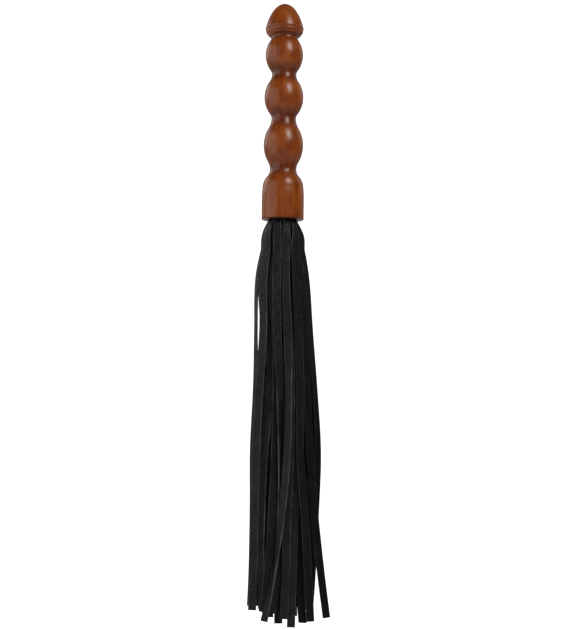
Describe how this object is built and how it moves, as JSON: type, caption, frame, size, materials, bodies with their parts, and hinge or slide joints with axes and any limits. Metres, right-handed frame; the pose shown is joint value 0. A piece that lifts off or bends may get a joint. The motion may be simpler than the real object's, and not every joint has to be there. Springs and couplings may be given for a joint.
{
  "type": "many-tailed leather whisk",
  "caption": "Turned wooden grip of rounded beads with an acorn finial and a bell ferrule, from whose socket a long hanging bundle of flat leather falls fans out.",
  "frame": {"origin": "on the axis of the grip, inside its middle bead, 0.7 mm above the crest of that bead", "axes": "Z along the grip's axis, up to the finial, with the falls hanging to -Z; front is -Y; X to the right seen from the front"},
  "size_m": [0.0832, 0.0459, 0.6196],
  "materials": {
    "wood": "turned hardwood, red-brown stain under satin lacquer",
    "core_wood": "plain sanded hardwood dowel",
    "leather": "black dyed, fine pebble grain on one side, flesh side duller and cooler",
    "waxed_cord": "waxed whipping cord",
    "resin": "set amber adhesive"
  },
  "bodies": {
    "grip": {"handle": "wood", "core_dowel": "core_wood", "fall_band": "leather", "whipping": "waxed_cord", "glue_bed": "resin", "fall_roots": "leather"},
    "tail": {"fall_11": "leather", "fall_12": "leather", "fall_13": "leather", "fall_14": "leather", "fall_15": "leather", "fall_16": "leather", "fall_17": "leather", "fall_18": "leather", "fall_19": "leather", "fall_20": "leather", "fall_21": "leather", "fall_22": "leather", "fall_23": "leather", "fall_24": "leather", "fall_25": "leather", "fall_26": "leather", "fall_27": "leather", "fall_28": "leather", "fall_29": "leather", "fall_30": "leather"},
    "fall_01": {"fall_01": "leather"},
    "fall_02": {"fall_02": "leather"},
    "fall_03": {"fall_03": "leather"},
    "fall_04": {"fall_04": "leather"},
    "fall_05": {"fall_05": "leather"},
    "fall_06": {"fall_06": "leather"},
    "fall_07": {"fall_07": "leather"},
    "fall_08": {"fall_08": "leather"},
    "fall_09": {"fall_09": "leather"},
    "fall_10": {"fall_10": "leather"}
  },
  "joints": [
    {"name": "tail_swing", "type": "hinge", "parent": "grip", "child": "tail", "pos_m": [0, 0, -0.123], "axis": [0, 1, 0], "range_deg": [-75, 75], "deforming": ["fall_roots"]},
    {"name": "fall_01_lift", "type": "hinge", "parent": "tail", "child": "fall_01", "pos_m": [0.0036, -0.0162, -0.1536], "axis": [-0.9986, -0.0523, 0], "range_deg": [0, 50]},
    {"name": "fall_02_lift", "type": "hinge", "parent": "tail", "child": "fall_02", "pos_m": [-0.0049, -0.016, -0.1536], "axis": [-0.9945, 0.1045, 0], "range_deg": [0, 50]},
    {"name": "fall_03_lift", "type": "hinge", "parent": "tail", "child": "fall_03", "pos_m": [-0.0154, -0.0133, -0.1536], "axis": [-0.8829, 0.4695, 0], "range_deg": [0, 50]},
    {"name": "fall_04_lift", "type": "hinge", "parent": "tail", "child": "fall_04", "pos_m": [-0.0204, -0.001, -0.1536], "axis": [-0.2419, 0.9703, 0], "range_deg": [0, 50]},
    {"name": "fall_05_lift", "type": "hinge", "parent": "tail", "child": "fall_05", "pos_m": [0.0122, -0.0142, -0.1536], "axis": [-0.866, -0.5, 0], "range_deg": [0, 50]},
    {"name": "fall_06_lift", "type": "hinge", "parent": "tail", "child": "fall_06", "pos_m": [0.0204, 0.001, -0.1536], "axis": [-0.5, -0.866, 0], "range_deg": [0, 50]},
    {"name": "fall_07_lift", "type": "hinge", "parent": "tail", "child": "fall_07", "pos_m": [0.0155, 0.0105, -0.1536], "axis": [0.6428, -0.766, 0], "range_deg": [0, 50]},
    {"name": "fall_08_lift", "type": "hinge", "parent": "tail", "child": "fall_08", "pos_m": [0.006, 0.0165, -0.1536], "axis": [0.9397, -0.342, 0], "range_deg": [0, 50]},
    {"name": "fall_09_lift", "type": "hinge", "parent": "tail", "child": "fall_09", "pos_m": [-0.006, 0.0165, -0.1536], "axis": [0.9397, 0.342, 0], "range_deg": [0, 50]},
    {"name": "fall_10_lift", "type": "hinge", "parent": "tail", "child": "fall_10", "pos_m": [-0.015, 0.0105, -0.1536], "axis": [0.6157, 0.788, 0], "range_deg": [0, 50]}
  ],
  "couplings": [
    {"joint": "fall_02_lift", "follows": "fall_01_lift", "ratio": 1}
  ]
}
